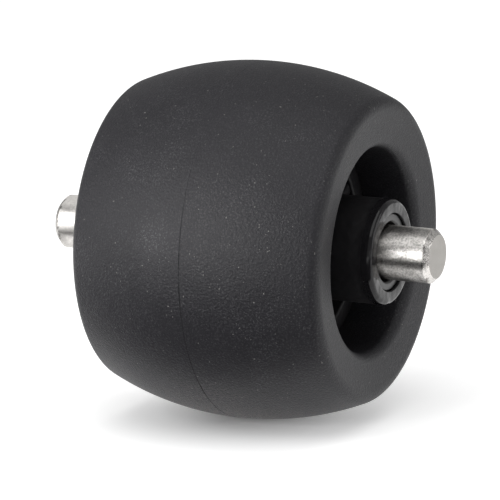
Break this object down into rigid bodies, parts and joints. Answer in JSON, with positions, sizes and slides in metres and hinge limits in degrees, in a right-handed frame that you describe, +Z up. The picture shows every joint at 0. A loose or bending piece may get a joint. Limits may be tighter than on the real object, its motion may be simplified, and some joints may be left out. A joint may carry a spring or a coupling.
{
  "type": "robot vacuum front wheel",
  "caption": "Barrel-shaped black rubber castor wheel on a ribbed plastic hub with bushes, spinning freely on a plain steel axle pin that stands out at both ends.",
  "frame": {"origin": "mid-length of the axle, on its centre line", "axes": "+Y along the axle towards the end that shows least in the picture, +Z up"},
  "size_m": [0.033, 0.038, 0.033],
  "materials": {
    "tyre_rubber": "matte moulded rubber with a fine speckle",
    "hub_plastic": "semi-gloss moulded plastic",
    "bush_plastic": "satin moulded plastic",
    "axle_steel": "drawn bright steel with fine handling marks"
  },
  "bodies": {
    "axle": {"axle": "axle_steel"},
    "wheel": {"tyre": "tyre_rubber", "hub": "hub_plastic", "near_bush": "bush_plastic", "far_bush": "bush_plastic"}
  },
  "joints": [
    {"name": "wheel_spin", "type": "hinge", "parent": "axle", "child": "wheel", "pos_m": [0, -0.001, 0], "axis": [0, 1, 0], "continuous": true}
  ]
}
